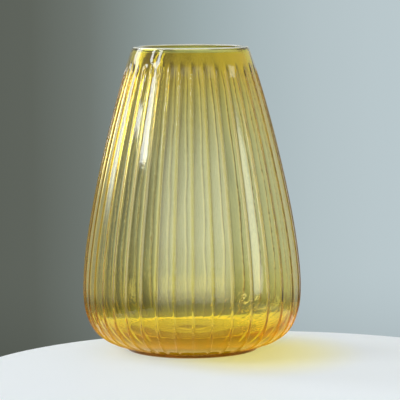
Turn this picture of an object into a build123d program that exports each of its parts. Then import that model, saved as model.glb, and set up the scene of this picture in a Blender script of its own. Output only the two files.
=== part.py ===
from build123d import *
import os

# Mouth-blown ribbed glass vase, millimetres, +Z up.
# Origin: centre of the flat underside that the vase stands on.
# Two pieces of glass are joined hot: the blown bubble (ribbed_body) and the
# disc of glass that it stands on (base_pad).

# Overall form, measured over the crests of the ribs
height = 250.0            # underside to lip
rim_radius = 47.2         # outside of the lip
belly_radius = 90.1       # widest place
belly_height = 50.8       # level of the widest place
foot_radius = 54.4        # edge of the base pad, where the belly turns in to it

# How the outer curve leaves each of those places
belly_hold = 56.9         # upward pull of the curve above the belly
lip_run = 21.1            # stretch under the lip over which the neck runs straight
lip_lean = 0.44           # outward lean of that stretch, mm per mm of drop
heel_share = 0.695        # outward pull of the curve at the base pad, as a share of the way to the belly
heel_rise = 3.2           # rise of the curve over that reach
heel_pull = 30.4          # downward pull of the curve below the belly

# Glass thickness
lip_wall = 5.2            # at the lip, where the glass is thickest
lip_taper = 0.16          # wall lost per mm of drop under the lip
belly_wall = 1.8          # behind the panels at the belly
floor_thickness = 9.6     # floor of the bubble, above the base pad
floor_inset = 6.0         # flat of the inner floor ends this far inside foot_radius
floor_crown = 1.2         # the inner floor is pushed up by this much at its middle

# Ribs and the smooth collar above them
rib_count = 36
rib_width = 1.9
rib_height = 1.1          # crest of a rib above the panels beside it
collar_height = 11.5      # smooth band under the lip, flush with the crests

# Base pad
foot_height = 3.2
foot_round = 1.0          # polished edge where the pad meets the table
pontil_radius = 13.0      # ground and polished hollow where the pontil iron was
pontil_depth = 1.1

# Cutting shapes stand this far clear of the glass
clearance = 5.0


def heel_reach():
    """How far out the heel curve pulls as it leaves the base pad or the inner floor."""
    return heel_share * (belly_radius - foot_radius)


def outer_curve(inset):
    """Meridian of the bubble from base pad to lip: inset 0 runs over the crests, rib_height along the panels."""
    heel = Bezier(
        (foot_radius, foot_height),
        (foot_radius + heel_reach(), foot_height + heel_rise + inset),
        (belly_radius - inset, belly_height - heel_pull),
        (belly_radius - inset, belly_height),
    )
    neck = Bezier(
        (belly_radius - inset, belly_height),
        (belly_radius - inset, belly_height + belly_hold),
        (rim_radius - inset + lip_lean * lip_run, height - lip_run),
        (rim_radius - inset, height),
    )
    return heel, neck


def bubble_solid(inset):
    """Solid of revolution under outer_curve."""
    heel, neck = outer_curve(inset)
    lid = Line(neck @ 1, (0, height))
    axis_line = Line((0, height), (0, foot_height))
    seat = Line((0, foot_height), (foot_radius, foot_height))
    outline = make_face([heel, neck, lid, axis_line, seat])
    return revolve(Plane.XZ * outline, Axis.Z)


def cavity_solid():
    """The space inside the bubble, open through the lip."""
    floor_level = foot_height + floor_thickness
    floor_radius = foot_radius - floor_inset
    inner_belly = belly_radius - rib_height - belly_wall
    inner_rim = rim_radius - lip_wall
    top = height + clearance
    floor_line = Bezier(
        (0, floor_level + floor_crown),
        (floor_radius / 2, floor_level + floor_crown),
        (floor_radius / 2, floor_level),
        (floor_radius, floor_level),
    )
    heel = Bezier(
        (floor_radius, floor_level),
        (floor_radius + heel_reach(), floor_level),
        (inner_belly, belly_height - heel_pull),
        (inner_belly, belly_height),
    )
    neck = Bezier(
        (inner_belly, belly_height),
        (inner_belly, belly_height + belly_hold),
        (inner_rim + (lip_lean + lip_taper) * lip_run, height - lip_run),
        (inner_rim, height),
    )
    mouth = Line((inner_rim, height), (inner_rim, top))
    lid = Line((inner_rim, top), (0, top))
    axis_line = Line((0, top), (0, floor_level + floor_crown))
    outline = make_face([floor_line, heel, neck, mouth, lid, axis_line])
    return revolve(Plane.XZ * outline, Axis.Z)


def rib_and_collar_mask():
    """Radial slabs, one to each pair of opposite ribs, and a disc that keeps the collar whole."""
    reach = belly_radius + clearance
    tall = height + clearance
    mask = Pos(0, 0, height - collar_height) * Cylinder(
        reach, tall, align=(Align.CENTER, Align.CENTER, Align.MIN)
    )
    slab = Box(2 * reach, rib_width, tall, align=(Align.CENTER, Align.CENTER, Align.MIN))
    slabs = [Rot(0, 0, 360 / rib_count * i) * slab for i in range(rib_count // 2)]
    return mask.fuse(*slabs)


def ribbed_body():
    """Blown bubble: wall, ribs, collar, lip and floor in one wall of glass."""
    crests = bubble_solid(0) & rib_and_collar_mask()
    return bubble_solid(rib_height) + crests - cavity_solid()


def base_pad():
    """Disc of glass under the bubble, with a rounded edge and a polished pontil hollow."""
    hollow = ThreePointArc(
        (0, pontil_depth), (pontil_radius * 0.5, pontil_depth * 0.75), (pontil_radius, 0)
    )
    stand = Line((pontil_radius, 0), (foot_radius - foot_round, 0))
    edge = TangentArc((foot_radius - foot_round, 0), (foot_radius, foot_round), tangent=(1, 0))
    side = Line((foot_radius, foot_round), (foot_radius, foot_height))
    seat = Line((foot_radius, foot_height), (0, foot_height))
    axis_line = Line((0, foot_height), (0, pontil_depth))
    outline = make_face([hollow, stand, edge, side, seat, axis_line])
    return revolve(Plane.XZ * outline, Axis.Z)


os.makedirs("parts", exist_ok=True)
export_step(ribbed_body(), "parts/ribbed_body.step")
export_step(base_pad(), "parts/base_pad.step")
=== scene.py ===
import math

import bpy
import numpy as np
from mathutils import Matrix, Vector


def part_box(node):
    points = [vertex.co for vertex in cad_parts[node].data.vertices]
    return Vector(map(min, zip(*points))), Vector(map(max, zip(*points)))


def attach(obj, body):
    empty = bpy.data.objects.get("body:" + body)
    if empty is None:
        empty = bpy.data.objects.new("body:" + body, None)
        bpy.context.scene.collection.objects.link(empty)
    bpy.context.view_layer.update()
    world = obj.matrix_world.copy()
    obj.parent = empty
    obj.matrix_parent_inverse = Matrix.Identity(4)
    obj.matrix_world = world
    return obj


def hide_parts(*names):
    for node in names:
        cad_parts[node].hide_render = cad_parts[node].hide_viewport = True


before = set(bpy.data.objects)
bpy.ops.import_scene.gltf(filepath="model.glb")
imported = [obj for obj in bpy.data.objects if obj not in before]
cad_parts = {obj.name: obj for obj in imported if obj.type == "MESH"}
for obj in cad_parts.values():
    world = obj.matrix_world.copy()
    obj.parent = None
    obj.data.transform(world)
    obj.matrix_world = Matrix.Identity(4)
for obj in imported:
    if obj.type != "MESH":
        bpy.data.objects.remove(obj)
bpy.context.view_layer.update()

mm = 0.001

# What a glassmaker would change on the blown bubble. Lengths in metres unless a note says so.
# Height, belly, foot and lip are read from the CAD model, further down.
bubble = {
    "bellyHeight": 50.8 * mm,    # level of the widest place
    "bellyHold": 56.9 * mm,      # upward pull of the wall's curve above the belly
    "lipRun": 21.1 * mm,         # stretch under the lip over which the neck runs straight
    "lipLean": 0.44,             # its outward lean, per unit of drop
    "lipTaper": 0.16,            # wall lost per unit of drop under the lip
    "lipRound": 1.0 * mm,        # rounding of its two edges
    "lipProud": 0.25 * mm,       # the outside rounding stands out by this, to meet the leaning wall
    "heelReach": 24.8 * mm,      # outward pull of the curve where it leaves the foot
    "heelRise": 3.2 * mm,        # its rise over that reach
    "heelPull": 30.4 * mm,       # downward pull of the curve below the belly
    "bellyWall": 1.8 * mm,       # behind the panels at the belly
    "floorLevel": 12.8 * mm,     # inner floor above the table
    "floorCrown": 1.2 * mm,      # push-up in the middle of the floor
    "floorInset": 6.0 * mm,      # the inner floor ends this far inside the foot
}

# rows of points along each stretch of the wall, from the foot up the outside and down the inside
wallRows = {
    "seat": (0, 0.5, 0.97),      # shares of the foot's radius
    "heel": 31,
    "heelCrowding": 1.35,        # above 1, rows lie closer towards the foot
    "heelRibs": 0.12,            # share of the heel over which the ribs grow to full relief
    "neck": 34,
    "tipsFrom": 0.90,            # share of the neck's curve where rows close up for the tips of the ribs
    "tips": 26,
    "neckEnd": 0.985,            # and where the lip takes over
    "lipOutside": 8,
    "lipInside": 7,
    "lipInsideFrom": 95,         # degrees; the outside rounding ends at 90
    "innerNeckFrom": 0.98,
    "innerNeck": 27,
    "innerHeel": 17,
    "floor": 6,
}

ribs = {
    "count": 36,
    "height": 1.1 * mm,          # crest above the middle of a panel
    "crestHeight": 0.95 * mm,    # the sharp part of it; the rest is the hollow of the panels
    "crestWidth": 0.80 * mm,     # half width of the sharp part
    "crowding": 0.20,            # radians: ribs crowd on one side, as the bubble was blown off centre
    "turn": 0.015,               # radians the whole set is turned by
    "collarHeight": 11.5 * mm,   # smooth band under the lip
    "tipArch": 3.5 * mm,         # each panel ends under the collar in an arch this tall
    "tipFade": 11.0 * mm,        # length over which it gains its full depth
    "footShare": 0.45,           # relief that is left where the ribs run into the foot
    "backShare": 0.6,            # and on the side that was away from the mould's wall
    # share of one rib spacing at which there is a column of points, close together at the rib
    "columns": (0, 0.014, 0.028, 0.044, 0.062, 0.085, 0.12, 0.18, 0.29, 0.5,
                0.71, 0.82, 0.88, 0.915, 0.938, 0.956, 0.972, 0.986),
}

ripple = {
    "height": 0.030 * mm,        # waviness of the hand-blown surface
    "waves": 26,
    "mostAround": 26,            # waves round the bubble
    "shortest": 18 * mm,         # length of a wave along the height
    "longest": 90 * mm,
    "weight": (0.4, 1.0),        # of a single wave, drawn between these
    "calmFoot": 6 * mm,          # none below this height,
    "footFade": 12 * mm,         # growing to full over this much more,
    "lipFade": 4 * mm,           # and fading out over this much under the lip
    "seed": 7,
}


def readSizes():
    # lip, belly and foot as the CAD model has them
    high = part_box("ribbed_body")[1]
    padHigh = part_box("base_pad")[1]
    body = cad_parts["ribbed_body"].data
    co = np.empty(len(body.vertices) * 3)
    body.vertices.foreach_get("co", co)
    co = co.reshape(-1, 3)
    lipBand = 0.01 * mm
    atLip = co[co[:, 2] > high.z - lipBand]
    lipRadii = np.hypot(atLip[:, 0], atLip[:, 1])
    return {
        "height": high.z,
        "belly": high.x,
        "foot": padHigh.x,
        "footHeight": padHigh.z,
        "lip": lipRadii.max(),
        "lipInner": lipRadii.min(),
    }


def bezier(points, t):
    # B(t) = (1-t)^3 P0 + 3 (1-t)^2 t P1 + 3 (1-t) t^2 P2 + t^3 P3
    p = np.array(points, float)
    t = np.asarray(t, float)[:, None]
    return (1 - t) ** 3 * p[0] + 3 * (1 - t) ** 2 * t * p[1] + 3 * (1 - t) * t**2 * p[2] + t**3 * p[3]


def arcRows(centre, radius, fromDeg, toDeg, count):
    # centre + radius (cos a, sin a), a from fromDeg to toDeg
    a = np.radians(np.linspace(fromDeg, toDeg, count))
    return np.column_stack([centre[0] + radius * np.cos(a), centre[1] + radius * np.sin(a)])


def smooth(x):
    # 3 x^2 - 2 x^3 between 0 and 1
    x = np.clip(x, 0, 1)
    return x * x * (3 - 2 * x)


def bubbleMeridian(v, size):
    # one line in (radius, height): from the middle of the seat on the foot, up two Bezier curves, over the
    # lip in two arcs, down two Bezier curves, and along z = level + crown (1 - s^2)^2 to the middle of the
    # inner floor; with each row comes the share of the ribs' relief that it carries
    foot, seat = size["foot"], size["footHeight"]
    belly, height = size["belly"], size["height"]
    stretches, relief = [], []

    def add(points, carried):
        stretches.append(np.asarray(points, float))
        relief.append(np.broadcast_to(np.asarray(carried, float), (len(points),)))

    add([(share * foot, seat) for share in wallRows["seat"]], 0)
    t = np.linspace(0, 1, wallRows["heel"]) ** wallRows["heelCrowding"]
    heel = bezier([(foot, seat), (foot + v["heelReach"], seat + v["heelRise"]),
                   (belly, v["bellyHeight"] - v["heelPull"]), (belly, v["bellyHeight"])], t)
    add(heel, ribs["footShare"] + (1 - ribs["footShare"]) * smooth(t / wallRows["heelRibs"]))
    t = np.concatenate([np.linspace(0, wallRows["tipsFrom"], wallRows["neck"])[1:],
                        np.linspace(wallRows["tipsFrom"], wallRows["neckEnd"], wallRows["tips"])[1:]])
    neck = bezier([(belly, v["bellyHeight"]), (belly, v["bellyHeight"] + v["bellyHold"]),
                   (size["lip"] + v["lipLean"] * v["lipRun"], height - v["lipRun"]),
                   (size["lip"], height)], t)
    add(neck, 1)

    # lip: rounded outside edge, flat top, rounded inside edge
    edge = v["lipRound"]
    lean = math.degrees(math.atan(v["lipLean"]))
    add(arcRows((size["lip"] - edge + v["lipProud"], height - edge), edge,
                lean, 90, wallRows["lipOutside"]), 0)
    add(arcRows((size["lipInner"] + edge, height - edge), edge,
                wallRows["lipInsideFrom"], 180 + lean, wallRows["lipInside"]), 0)

    innerBelly = belly - ribs["height"] - v["bellyWall"]
    innerLean = v["lipLean"] + v["lipTaper"]
    inner = bezier([(innerBelly, v["bellyHeight"]), (innerBelly, v["bellyHeight"] + v["bellyHold"]),
                    (size["lipInner"] + innerLean * v["lipRun"], height - v["lipRun"]),
                    (size["lipInner"], height)],
                   np.linspace(wallRows["innerNeckFrom"], 0, wallRows["innerNeck"]))
    add(inner, 0)
    floorEdge = foot - v["floorInset"]
    innerHeel = bezier([(floorEdge, v["floorLevel"]), (floorEdge + v["heelReach"], v["floorLevel"]),
                        (innerBelly, v["bellyHeight"] - v["heelPull"]), (innerBelly, v["bellyHeight"])],
                       np.linspace(1, 0, wallRows["innerHeel"])[1:])
    add(innerHeel, 0)
    s = np.linspace(1, 0, wallRows["floor"])[1:]
    add(np.column_stack([floorEdge * s, v["floorLevel"] + v["floorCrown"] * (1 - s * s) ** 2]), 0)
    return np.concatenate(stretches), np.concatenate(relief)


def ribAngles():
    # angle of rib i = turn + i pitch + crowding (1 - cos(i pitch)), counted from the front
    even = np.arange(ribs["count"]) * 2 * math.pi / ribs["count"]
    return ribs["turn"] + even + ribs["crowding"] * (1 - np.cos(even))


def ripples(w, theta, height, seed):
    # sum of waves a sin(m theta + 2 pi height / length + phase), with m whole, so that it closes
    rng = np.random.default_rng(seed)
    total = np.zeros(np.broadcast(theta, height).shape)
    for _ in range(w["waves"]):
        around = rng.integers(2, w["mostAround"])
        length = rng.uniform(w["shortest"], w["longest"]) * rng.choice([-1, 1])
        phase = rng.uniform(0, 2 * math.pi)
        weight = rng.uniform(*w["weight"]) / math.sqrt(w["waves"] / 2)
        total = total + weight * np.sin(around * theta + 2 * math.pi * height / length + phase)
    return w["height"] * total


def normalsOf(line):
    # unit normals of a line in (radius, height), to its right hand: away from the glass
    step = np.gradient(line, axis=0)
    n = np.column_stack([step[:, 1], -step[:, 0]])
    return n / np.maximum(np.linalg.norm(n, axis=1), 1e-12)[:, None]


def closedSurface(name, points, material, marks=None):
    # points[row, column]; the first and last rows each shrink to one point, and columns go round;
    # marks holds named values from 0 to 1 for every point, for the material
    rows, columns = points.shape[:2]
    co = np.concatenate([points[:1, 0], points[1:-1].reshape(-1, 3), points[-1:, 0]])
    ring = 1 + np.arange((rows - 2) * columns).reshape(rows - 2, columns)
    beside = np.roll(ring, -1, axis=1)
    quads = np.stack([ring[:-1], beside[:-1], beside[1:], ring[1:]], axis=-1).reshape(-1, 4)
    firstFan = np.stack([np.zeros(columns, int), beside[0], ring[0]], axis=-1)
    lastFan = np.stack([ring[-1], beside[-1], np.full(columns, len(co) - 1)], axis=-1)
    mesh = bpy.data.meshes.new(name)
    mesh.from_pydata(co.tolist(), [], quads.tolist() + firstFan.tolist() + lastFan.tolist())
    mesh.polygons.foreach_set("use_smooth", np.ones(len(mesh.polygons), bool))
    mesh.materials.append(material)
    for label, mark in (marks or {}).items():
        values = np.concatenate([mark[:1, 0], mark[1:-1].ravel(), mark[-1:, 0]])
        mesh.attributes.new(label, "FLOAT", "POINT").data.foreach_set("value", values)
    mesh.update()
    piece = bpy.data.objects.new(name, mesh)
    bpy.context.scene.collection.objects.link(piece)
    return piece


def turned(radius, height, theta):
    # (r cos a, r sin a, z), where a = 0 is the front, towards -Y
    angle = theta - math.pi / 2
    shape = np.broadcast(radius, height, theta).shape
    return np.stack([radius * np.cos(angle) * np.ones(shape), radius * np.sin(angle) * np.ones(shape),
                     np.broadcast_to(height, shape)], axis=-1)


def makeBubble(v, size, material):
    # the meridian turned about the axis, each point moved along its normal by waviness - depth of the panel
    line, relief = bubbleMeridian(v, size)
    normal = normalsOf(line)
    at = ribAngles()
    gaps = np.diff(np.append(at, at[0] + 2 * math.pi))
    columns = np.array(ribs["columns"])
    theta = (at[:, None] + gaps[:, None] * columns[None, :]).reshape(1, -1)
    gap = np.repeat(gaps, len(columns))[None, :]
    local = np.tile(columns, ribs["count"])[None, :]
    fromRib = np.minimum(local, 1 - local) * gap            # angle to the nearest rib

    radius, height = line[:, 0:1], line[:, 1:2]
    arc = fromRib * radius                                  # distance along the surface
    # depth = hollow (1 - (1 - across)^2) + crest (1 - exp(-(arc/width)^2)), across from 0 at a rib to 1
    across = fromRib / (gap / 2)
    hollow = (ribs["height"] - ribs["crestHeight"]) * (1 - (1 - across) ** 2)
    crest = np.exp(-((arc / ribs["crestWidth"]) ** 2))
    # panels end under the collar in an arch: top = collar - arch (1 - across)^2
    panelTop = size["height"] - ribs["collarHeight"] - ribs["tipArch"] * (1 - across) ** 2
    # relief by direction = 1 at the front, falling with the cosine to backShare at the back
    facing = 1 - (1 - ribs["backShare"]) * (1 - np.cos(theta)) / 2
    ribbed = relief[:, None] * smooth((panelTop - height) / ribs["tipFade"]) * facing
    depth = (hollow + ribs["crestHeight"] * (1 - crest)) * ribbed

    isInner = np.arange(len(line))[:, None] > int(np.argmax(line[:, 1]))
    innerWave = ripples(ripple, theta, height, ripple["seed"] + 1)
    outerWave = ripples(ripple, theta, height, ripple["seed"])
    calmed = (np.clip((height - ripple["calmFoot"]) / ripple["footFade"], 0, 1)
              * np.clip((size["height"] - height) / ripple["lipFade"], 0, 1))
    move = np.where(isInner, innerWave, outerWave) * calmed - np.where(isInner, 0, depth)
    points = turned(radius + normal[:, 0:1] * move, height + normal[:, 1:2] * move, theta)
    onRib = np.where(isInner, 0, np.sqrt(crest) * ribbed)
    # side: 0 at the front and back, 1 at the left and right; it carries the painted shade on the ribs at the
    # sides
    side = np.broadcast_to(np.sin(theta) ** 2, onRib.shape)
    return closedSurface("vaseBody", points, material, {"crest": onRib, "side": side})


# the thick disc of glass that the bubble was set down on
foot = {
    "round": 1.0 * mm,           # polished edge where it meets the table
    "shoulder": 0.5 * mm,        # the crease where the bubble was joined on
    "weld": 0.2 * mm,            # how far the disc reaches up into the bubble
    "pontilRadius": 13.0 * mm,   # polished hollow where the pontil iron was
    "pontilDepth": 1.1 * mm,
    "hollowRows": 7,
    "edgeRows": 8,
    "columns": 288,
}


def makeFoot(v, size, material):
    # profile: pontil hollow z = depth (1 - s^2), flat ring, quarter-round edge, side, crease, and a flat top
    # inside the bubble; the flats have rows at a few shares of the radius, so that they stay flat
    radius, top = size["foot"], size["footHeight"]
    s = np.linspace(0, 1, v["hollowRows"])
    hollow = np.column_stack([v["pontilRadius"] * s, v["pontilDepth"] * (1 - s * s)])
    flat = [(v["pontilRadius"] * 1.06, 0), (0.6 * radius, 0), (0.94 * radius, 0)]
    edge = arcRows((radius - v["round"], v["round"]), v["round"], -90, 0, v["edgeRows"])
    step, lid = v["shoulder"], top + v["weld"]
    crease = [(radius, top - step), (radius - 0.15 * step, top - 0.4 * step), (radius - 0.5 * step, top)]
    cover = [(radius - step, lid), (0.6 * radius, lid), (0, lid)]
    line = np.concatenate([hollow, flat, edge, crease, cover])
    theta = np.linspace(0, 2 * math.pi, v["columns"], endpoint=False)[None, :]
    return closedSurface("basePad", turned(line[:, 0:1], line[:, 1:2], theta), material)


glass = {
    "ior": 1.5,
    "perMetre": 230.0,                      # absorption, how strongly the blue end is taken out
    "passes": (0.992, 0.960, 0.0, 1.0),     # share that is not taken out, by colour
    # the colour lies in a skin that was stretched thin with the wall: tint of one wall by height in mm.
    # The underside has none, the side of the foot is deepest, and the lip has almost none
    "skin": ((0.0, (1.0, 1.0, 1.0)), (0.7, (1.0, 1.0, 1.0)),
             (1.0, (0.10, 0.02, 0.01)), (2.7, (0.10, 0.02, 0.01)),
             (3.1, (1.0, 1.0, 1.0)), (3.6, (1.0, 1.0, 1.0)),
             (4.5, (1.0, 0.92, 0.55)), (20.0, (1.0, 0.89, 0.46)),
             (40.0, (0.96, 0.87, 0.58)), (60.0, (0.95, 0.88, 0.80)),
             (80.0, (1.0, 0.95, 1.0)), (160.0, (1.0, 0.945, 0.98)),
             (205.0, (0.99, 0.89, 0.78)), (236.0, (1.0, 0.82, 0.46)),
             (246.0, (1.0, 0.82, 0.42)), (248.0, (1.0, 1.0, 0.97)), (250.0, (1.0, 1.0, 0.97))),
    "ribTint": (1.0, 0.95, 0.90, 1.0),      # tint on the crest of a rib, at the front and back
    "paintedSideShade": (0.80, 0.28, 0.02, 1.0),    # and at the sides: painted shade, deep amber on the crests at the left and right, standing for light that goes a long way along the wall there as seen from the front
    # painted reflection: reflections tinted amber near the foot, turning white higher up, by height in mm
    "paintedReflectionTint": ((0.0, (1.0, 0.74, 0.25)), (14.0, (1.0, 0.80, 0.35)), (38.0, (1.0, 1.0, 1.0))),
    # the lip was ground: between these heights it turns from clear to partly matt
    "ground": (248.8 * mm, 249.5 * mm),
    "groundClear": 0.4,                     # share that stays clear
    "cordScale": 90.0,                      # faint cords in the glass, drawn out along the height
    "cordStretch": 0.12,
    "cordDetail": 3.0,
    "cordTints": ((0.955, 0.96, 0.92, 1), (1.0, 1.0, 0.99, 1)),
    "hammerScale": 330.0,                   # soft hammered look of a hand-blown surface
    "hammerDetail": 2.0,
    "hammerStrength": 0.6,
    "hammerDepth": 0.04 * mm,
    # a faint glow that stands for light gathered in the thick glass round the foot, by height in mm
    "gathered": ((0.0, (0.0, 0.0, 0.0)), (3.2, (0.0, 0.0, 0.0)),
                 (3.8, (0.056, 0.038, 0.0)), (11.0, (0.092, 0.085, 0.0)),
                 (18.0, (0.01, 0.008, 0.0)), (26.0, (0.0, 0.0, 0.0))),
}


def node(tree, kind, at, **inputs):
    # a new node, with its sockets set by name
    made = tree.nodes.new(kind)
    made.location = at
    for name, value in inputs.items():
        made.inputs[name.replace("_", " ")].default_value = value
    return made


def feed(tree, socket, value):
    # a socket gets a link from another node, or a number or colour of its own
    if isinstance(value, bpy.types.NodeSocket):
        tree.links.new(value, socket)
    else:
        socket.default_value = value


def maths(tree, operation, *values, at=(0, 0)):
    made = node(tree, "ShaderNodeMath", at)
    made.operation = operation
    for socket, value in zip(made.inputs, values):
        feed(tree, socket, value)
    return made.outputs[0]


def softStep(tree, value, low, high, at=(0, 0)):
    # 0 at low and 1 at high, by 3 x^2 - 2 x^3; low may be the larger
    made = node(tree, "ShaderNodeMapRange", at, From_Min=low, From_Max=high)
    made.interpolation_type = "SMOOTHSTEP"
    tree.links.new(value, made.inputs["Value"])
    return made.outputs["Result"]


def mixed(tree, factor, a, b, at, blend="MIX"):
    # a (1 - factor) + b factor, or a b where blend is MULTIPLY and the factor is 1
    made = node(tree, "ShaderNodeMix", at)
    made.data_type = "RGBA"
    made.blend_type = blend
    feed(tree, made.inputs["Factor"], factor)
    feed(tree, made.inputs[6], a)
    feed(tree, made.inputs[7], b)
    return made.outputs[2]


def colourStops(ramp, stops):
    # stops are (place from 0 to 1, colour), in rising order
    elements = ramp.color_ramp.elements
    while len(elements) < len(stops):
        elements.new(0.5)
    for element, (place, _) in zip(elements, stops):
        element.position = place
    for element, (_, colour) in zip(elements, stops):
        element.color = (*colour, 1)


def byHeight(tree, level, stops, height, at):
    # colour by height; stops are (mm above the table, colour)
    ramp = node(tree, "ShaderNodeValToRGB", at)
    colourStops(ramp, [(z * mm / height, colour) for z, colour in stops])
    tree.links.new(level, ramp.inputs["Fac"])
    return ramp.outputs["Color"]


def meshValue(tree, name, at):
    # one of the marks that the mesh carries, from 0 to 1
    read = node(tree, "ShaderNodeAttribute", at)
    read.attribute_name = name
    return read.outputs["Fac"]


def makeAmberGlass(g, size):
    material = bpy.data.materials.new("amberGlass")
    material.use_nodes = True
    tree = material.node_tree
    tree.nodes.clear()
    link = tree.links.new
    out = node(tree, "ShaderNodeOutputMaterial", (700, 0))
    surface = node(tree, "ShaderNodeBsdfPrincipled", (350, 100), Transmission_Weight=1.0, Roughness=0.0,
                   IOR=g["ior"], Emission_Strength=1.0)
    absorb = node(tree, "ShaderNodeVolumeAbsorption", (350, -350), Color=g["passes"], Density=g["perMetre"])
    link(surface.outputs["BSDF"], out.inputs["Surface"])
    link(absorb.outputs["Volume"], out.inputs["Volume"])

    where = node(tree, "ShaderNodeTexCoord", (-900, 0))
    axes = node(tree, "ShaderNodeSeparateXYZ", (-700, 450))
    level = node(tree, "ShaderNodeMapRange", (-520, 450), From_Max=size["height"])
    link(where.outputs["Object"], axes.inputs["Vector"])
    link(axes.outputs["Z"], level.inputs["Value"])

    # what depends on height alone
    height = size["height"]
    skin = byHeight(tree, level.outputs["Result"], g["skin"], height, (-330, 500))
    # painted reflection: Specular Tint turns amber near the foot
    paintedReflectionTint = byHeight(tree, level.outputs["Result"], g["paintedReflectionTint"], height, (-330, -350))
    gathered = byHeight(tree, level.outputs["Result"], g["gathered"], height, (-330, -650))
    ground = node(tree, "ShaderNodeMapRange", (-330, 1100), From_Min=g["ground"][0], From_Max=g["ground"][1],
                  To_Min=1.0, To_Max=g["groundClear"])
    link(axes.outputs["Z"], ground.inputs["Value"])
    link(ground.outputs["Result"], surface.inputs["Transmission Weight"])
    link(paintedReflectionTint, surface.inputs["Specular Tint"])
    link(gathered, surface.inputs["Emission Color"])

    # cords: noise drawn out along the height, as a tint
    stretch = node(tree, "ShaderNodeMapping", (-700, 150), Scale=(1.0, 1.0, g["cordStretch"]))
    cords = node(tree, "ShaderNodeTexNoise", (-480, 150), Scale=g["cordScale"], Detail=g["cordDetail"])
    tint = node(tree, "ShaderNodeValToRGB", (-250, 150))
    for element, colour in zip(tint.color_ramp.elements, g["cordTints"]):
        element.color = colour
    link(where.outputs["Object"], stretch.inputs["Vector"])
    link(stretch.outputs["Vector"], cords.inputs["Vector"])
    link(cords.outputs["Fac"], tint.inputs["Fac"])

    # colour of the wall: the skin, deeper on the crests, with painted shade on the crests at the sides,
    # times the cords
    side = meshValue(tree, "side", (-330, 900))
    crest = meshValue(tree, "crest", (-330, 700))
    # painted shade: rib crests turn deep amber towards the left and right
    onRib = mixed(tree, side, g["ribTint"], g["paintedSideShade"], (-150, 800))
    ribbed = mixed(tree, crest, skin, onRib, (-50, 500))
    corded = mixed(tree, 1.0, ribbed, tint.outputs["Color"], (150, 350), "MULTIPLY")
    link(corded, surface.inputs["Base Color"])

    # hammered surface: fine noise as relief
    fine = node(tree, "ShaderNodeTexNoise", (-480, -150), Scale=g["hammerScale"], Detail=g["hammerDetail"])
    bump = node(tree, "ShaderNodeBump", (-50, -150), Strength=g["hammerStrength"], Distance=g["hammerDepth"])
    link(where.outputs["Object"], fine.inputs["Vector"])
    link(fine.outputs["Fac"], bump.inputs["Height"])
    link(bump.outputs["Normal"], surface.inputs["Normal"])
    return material


# the plain pale floor is round, and its far edge is in view behind the vase
paleFloor = {
    "centre": (0.047, -0.145),
    "radius": 0.2315,
    "thickness": 0.018,
    "edge": 0.003,               # radius of its rounded edge
    "edgeRows": 7,
    "columns": 256,
    "gap": 0.08 * mm,            # the glass stands this far above it, so that their faces don't meet
    "roughness": 0.55,
    "specular": 0.3,
    "paint": (0.47, 0.48, 0.49, 1.0),
    "fill": (0.40, 0.42, 0.43, 1.0),           # light that the room would bounce about under the glass
    "amberLitPaint": (0.49, 0.47, 0.36, 1.0),      # both again, where the vase throws amber light: a painted pool of light
    "amberLitFill": (0.46, 0.42, 0.16, 1.0),
    # patch of that light beside the vase, on the upper face only: middle, half sizes, and the share of
    # the way in from its edge over which it grows
    "amberLitAt": (0.055, -0.030, 0),
    "amberLitSize": (0.095, 0.125, 0.012),
    "amberLitSoft": 0.75,
    # painted light again where it gathers, under and behind the foot, where the floor also glows brighter
    "underAt": (0.0, 0.030, 0),
    "underSize": (0.060, 0.072, 0.012),
    "underSoft": 0.4,
    "underStrength": 2.0,
}


def patch(tree, where, middle, halfSize, soft, y):
    # softStep of 1 - |(p - middle) / halfSize|, full where that is over soft
    place = node(tree, "ShaderNodeMapping", (-900, y), Location=middle, Scale=halfSize)
    place.vector_type = "TEXTURE"
    fall = node(tree, "ShaderNodeTexGradient", (-700, y))
    fall.gradient_type = "SPHERICAL"
    tree.links.new(where, place.inputs["Vector"])
    tree.links.new(place.outputs["Vector"], fall.inputs["Vector"])
    return softStep(tree, fall.outputs["Fac"], 0, soft, (-500, y))


def makePaintWithPaintedLight(f):
    paint = bpy.data.materials.new("palePaintWithPaintedLight")
    paint.use_nodes = True
    tree = paint.node_tree
    link = tree.links.new
    surface = tree.nodes["Principled BSDF"]
    surface.inputs["Roughness"].default_value = f["roughness"]
    surface.inputs["Specular IOR Level"].default_value = f["specular"]
    where = node(tree, "ShaderNodeTexCoord", (-1100, 0)).outputs["Object"]
    # painted light: an amber pool beside the vase, and a brighter glow under and behind the foot
    amberLit = patch(tree, where, f["amberLitAt"], f["amberLitSize"], f["amberLitSoft"], 0)
    under = patch(tree, where, f["underAt"], f["underSize"], f["underSoft"], 300)
    lit = maths(tree, "MAXIMUM", amberLit, under, at=(-400, 150))
    link(mixed(tree, lit, f["paint"], f["amberLitPaint"], (-250, 200)), surface.inputs["Base Color"])
    link(mixed(tree, lit, f["fill"], f["amberLitFill"], (-250, -100)), surface.inputs["Emission Color"])
    # painted light: the floor glows up to underStrength times brighter under and behind the foot
    strength = node(tree, "ShaderNodeMapRange", (-250, 400), To_Min=1.0, To_Max=f["underStrength"])
    link(under, strength.inputs["Value"])
    link(strength.outputs["Result"], surface.inputs["Emission Strength"])
    return paint


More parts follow.
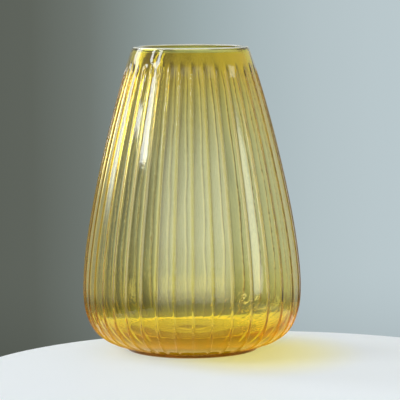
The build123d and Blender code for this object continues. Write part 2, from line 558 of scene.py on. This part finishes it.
def makeFloor(f):
    # round slab: flat underside, two quarter-round edges and flat top, turned about its own middle
    edge, radius, deep = f["edge"], f["radius"], f["thickness"]
    below = [(0, -deep), (0.6 * radius, -deep)]
    low = arcRows((radius - edge, edge - deep), edge, -90, 0, f["edgeRows"])
    high = arcRows((radius - edge, -edge), edge, 0, 90, f["edgeRows"])
    above = [(0.97 * radius, 0), (0.6 * radius, 0), (0, 0)]
    line = np.concatenate([below, low, high, above])
    theta = np.linspace(0, 2 * math.pi, f["columns"], endpoint=False)[None, :]
    points = turned(line[:, 0:1], line[:, 1:2] - f["gap"], theta)
    points[..., :2] += f["centre"]
    floor = closedSurface("paleFloor", points, makePaintWithPaintedLight(f))
    floor.data.polygons.foreach_set("use_smooth", np.zeros(len(floor.data.polygons), bool))
    return floor


# wall colour by azimuth in degrees: 0 is behind the vase, positive to the right, 180 behind the camera
wallStops = [
    (-180, (0.45, 0.46, 0.46)),
    (-110, (0.50, 0.52, 0.52)),
    (-60, (0.60, 0.63, 0.63)),
    (-14, (0.36, 0.40, 0.38)),
    (-5.6, (0.106, 0.118, 0.100)),
    (-3.4, (0.120, 0.134, 0.114)),
    (-2.0, (0.212, 0.248, 0.232)),
    (-0.5, (0.310, 0.380, 0.385)),
    (1.2, (0.400, 0.480, 0.500)),
    (3.3, (0.475, 0.560, 0.585)),
    (5.6, (0.50, 0.59, 0.62)),
    (14, (0.60, 0.66, 0.68)),
    (40, (0.55, 0.59, 0.60)),
    (90, (0.50, 0.53, 0.54)),
    (180, (0.45, 0.46, 0.46)),
]

# the walls darken towards the ceiling and the ground: elevations at which they are darkest and full, in
# degrees, and how dark they get
wallShade = {"upper": (75, 30), "lower": (-14, -7.5), "darkest": 0.42}

# soft boxes: azimuth and elevation of the middle, half sizes and softness, all in degrees
softBoxes = [
    {"azimuth": -56, "elevation": 27, "halfWidth": 9, "halfHeight": 21, "soft": 3,
     "colour": (0.90, 0.97, 1.05), "power": 5.2},
    {"azimuth": -98, "elevation": 31, "halfWidth": 3, "halfHeight": 14, "soft": 0.8,
     "colour": (0.92, 0.96, 1.0), "power": 13.0},
    {"azimuth": -113, "elevation": 31, "halfWidth": 3, "halfHeight": 14, "soft": 0.8,
     "colour": (0.92, 0.96, 1.0), "power": 13.0},
    {"azimuth": 106, "elevation": 7, "halfWidth": 5, "halfHeight": 13, "soft": 1.5,
     "colour": (0.95, 0.98, 1.0), "power": 3.8},
    {"azimuth": 180, "elevation": 6, "halfWidth": 40, "halfHeight": 16, "soft": 8,
     "colour": (0.93, 0.97, 1.0), "power": 2.2},
]

# light from overhead: elevation where it begins and where it is full
ceiling = {"from": 66, "to": 74, "colour": (1.0, 1.0, 0.98), "power": 0.9}


def addLight(tree, light, mask, colour, power):
    # light + mask colour power
    glow = tree.nodes.new("ShaderNodeVectorMath")
    glow.operation = "MULTIPLY_ADD"
    glow.inputs[0].default_value = [c * power for c in colour]
    tree.links.new(mask, glow.inputs[1])
    tree.links.new(light, glow.inputs[2])
    return glow.outputs[0]


def makeStudio(stops, shading, boxes, overhead):
    # light by direction = walls by azimuth times shade by elevation, plus each soft box and the ceiling
    world = bpy.data.worlds.new("studio")
    bpy.context.scene.world = world
    world.use_nodes = True
    tree = world.node_tree
    tree.nodes.clear()
    link = tree.links.new
    out = node(tree, "ShaderNodeOutputWorld", (600, 0))
    back = node(tree, "ShaderNodeBackground", (400, 0))
    where = node(tree, "ShaderNodeTexCoord", (-1200, 0))
    axes = node(tree, "ShaderNodeSeparateXYZ", (-1000, 0))
    link(where.outputs["Generated"], axes.inputs[0])
    x, y, z = axes.outputs
    azimuth = maths(tree, "MULTIPLY", maths(tree, "ARCTAN2", x, y), math.degrees(1))
    elevation = maths(tree, "MULTIPLY", maths(tree, "ARCSINE", z), math.degrees(1))

    walls = node(tree, "ShaderNodeValToRGB", (-400, 200))
    link(maths(tree, "MULTIPLY_ADD", azimuth, 1 / 360, 0.5), walls.inputs["Fac"])
    colourStops(walls, [(angle / 360 + 0.5, colour) for angle, colour in stops])
    upper = softStep(tree, elevation, *shading["upper"])
    lower = softStep(tree, elevation, *shading["lower"])
    darkest = shading["darkest"]
    shade = maths(tree, "MULTIPLY_ADD", maths(tree, "MULTIPLY", upper, lower), 1 - darkest, darkest)
    shaded = node(tree, "ShaderNodeVectorMath", (-200, 0))
    shaded.operation = "SCALE"
    link(walls.outputs["Color"], shaded.inputs[0])
    link(shade, shaded.inputs["Scale"])

    light = shaded.outputs[0]
    for box in boxes:
        turn = maths(tree, "WRAP", maths(tree, "SUBTRACT", azimuth, box["azimuth"]), 180, -180)
        aside = maths(tree, "ABSOLUTE", turn)
        rise = maths(tree, "ABSOLUTE", maths(tree, "SUBTRACT", elevation, box["elevation"]))
        wide = softStep(tree, aside, box["halfWidth"] + box["soft"], box["halfWidth"] - box["soft"])
        tall = softStep(tree, rise, box["halfHeight"] + box["soft"], box["halfHeight"] - box["soft"])
        light = addLight(tree, light, maths(tree, "MULTIPLY", wide, tall), box["colour"], box["power"])
    high = softStep(tree, elevation, overhead["from"], overhead["to"])
    light = addLight(tree, light, high, overhead["colour"], overhead["power"])
    link(light, back.inputs["Color"])
    link(back.outputs[0], out.inputs["Surface"])
    return world


camera = {
    "place": (0.0083, -1.885, 0.3202),
    "pitch": 5.97,       # degrees below level
    "roll": 0.38,        # degrees
    "lens": 206.6,       # mm, on a sensor of the width below
    "sensor": 36,
    "clip": (0.01, 100),
}


def makeCamera(c):
    data = bpy.data.cameras.new("camera")
    data.lens = c["lens"]
    data.sensor_width = c["sensor"]
    data.clip_start, data.clip_end = c["clip"]
    cam = bpy.data.objects.new("camera", data)
    cam.location = c["place"]
    cam.rotation_euler = (math.radians(90 - c["pitch"]), math.radians(c["roll"]), 0)
    bpy.context.scene.collection.objects.link(cam)
    bpy.context.scene.camera = cam
    return cam


size = readSizes()
print("sizes from the CAD model in mm:", {k: round(float(x) / mm, 2) for k, x in size.items()})

amberGlass = makeAmberGlass(glass, size)
vaseBody = makeBubble(bubble, size, amberGlass)
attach(vaseBody, "root")
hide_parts("ribbed_body")
print("bubble done,", len(vaseBody.data.polygons), "faces")

basePad = makeFoot(foot, size, amberGlass)
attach(basePad, "root")
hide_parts("base_pad")
print("foot done,", len(basePad.data.polygons), "faces")

makeFloor(paleFloor)
print("floor done")

makeStudio(wallStops, wallShade, softBoxes, ceiling)
makeCamera(camera)
scene = bpy.context.scene
scene.view_settings.view_transform = "Standard"
scene.cycles.max_bounces = 32
scene.cycles.transmission_bounces = 28
scene.cycles.glossy_bounces = 12
scene.cycles.sample_clamp_indirect = 0
print("studio done")
